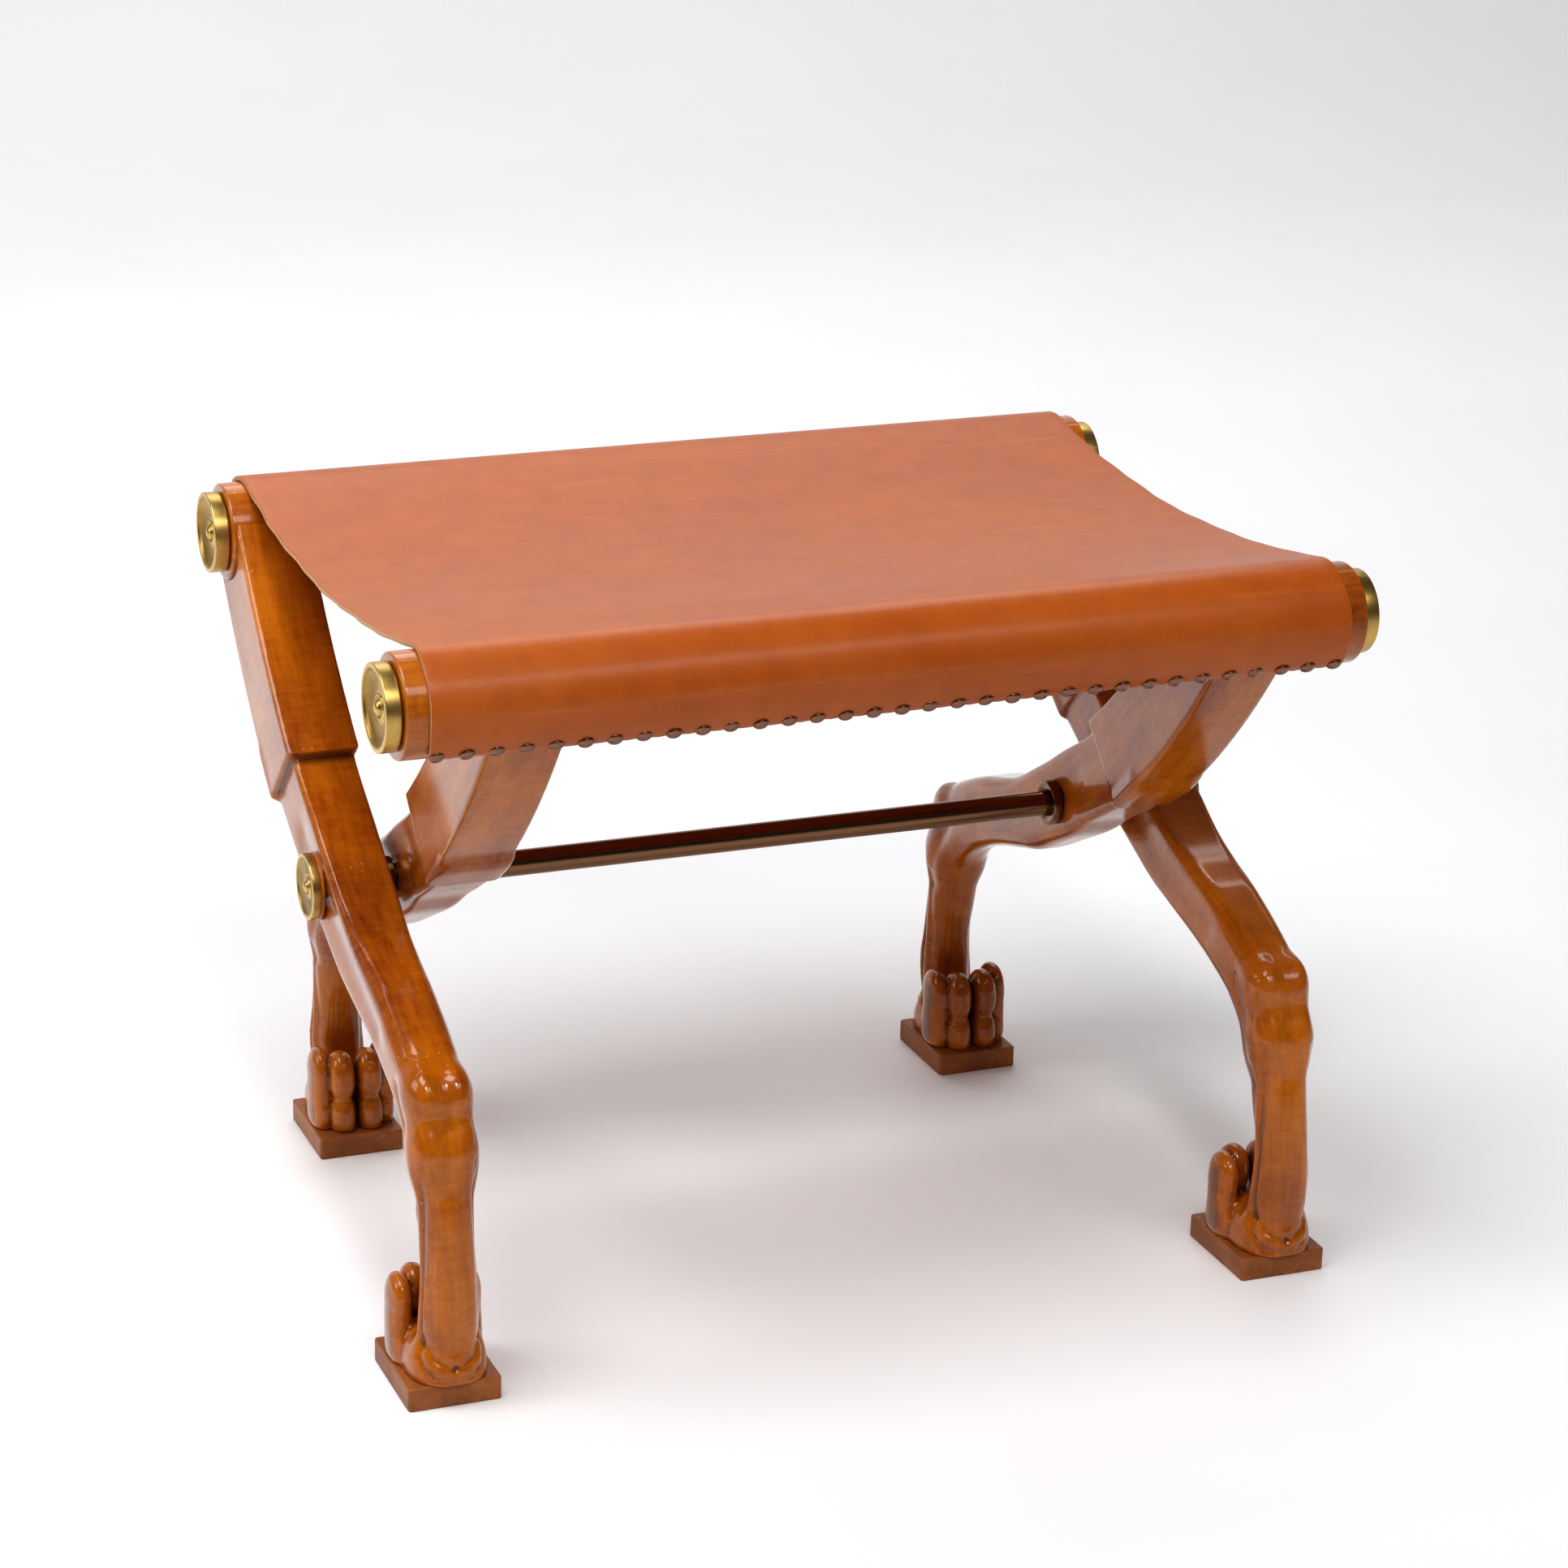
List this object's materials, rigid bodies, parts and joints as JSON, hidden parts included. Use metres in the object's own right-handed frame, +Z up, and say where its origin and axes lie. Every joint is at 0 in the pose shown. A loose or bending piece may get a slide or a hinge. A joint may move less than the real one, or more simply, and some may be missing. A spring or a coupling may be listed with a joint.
{
  "type": "x frame stool",
  "caption": "Folding X-frame stool with carved animal legs on square foot pads, round rails, a pivot rod and a tacked leather sling seat.",
  "frame": {"origin": "middle of the footprint on the floor, under the middle of the pivot rod", "axes": "+X along the rails and the pivot rod, +Y from the front rail to the back rail, +Z up"},
  "size_m": [0.6, 0.439, 0.4464],
  "materials": {
    "leg_wood": "glossy lacquer",
    "pad_wood": "satin lacquer",
    "leather": "satin saddle leather",
    "aged_brass": "aged, rims rubbed bright",
    "dark_bronze": "dark bronze patina",
    "dark_tacks": "antiqued",
    "dark_spacer": "dark bronze patina"
  },
  "bodies": {
    "outer_frame": {"outer_leg_left": "leg_wood", "outer_leg_right": "leg_wood", "back_rail": "leg_wood", "disc_back_left": "aged_brass", "disc_back_right": "aged_brass", "rail_screws_back": "aged_brass", "pad_front_left": "pad_wood", "pad_front_right": "pad_wood", "pivot_rod": "dark_bronze", "collar_left": "dark_bronze", "collar_right": "dark_bronze", "pivot_disc_left": "aged_brass", "pivot_disc_right": "aged_brass", "pivot_screws": "aged_brass", "pivot_washers": "leg_wood", "leg_spacers": "dark_spacer", "leather_seat": "leather", "tacks_back": "dark_tacks"},
    "inner_frame": {"inner_leg_left": "leg_wood", "inner_leg_right": "leg_wood", "front_rail": "leg_wood", "disc_front_left": "aged_brass", "disc_front_right": "aged_brass", "rail_screws_front": "aged_brass", "pad_back_left": "pad_wood", "pad_back_right": "pad_wood", "tacks_front": "dark_tacks"}
  },
  "joints": [
    {"name": "fold", "type": "hinge", "parent": "outer_frame", "child": "inner_frame", "pos_m": [0, 0, 0.2435], "axis": [-1, 0, 0], "range_deg": [0, 59], "deforming": ["leather_seat"]}
  ]
}
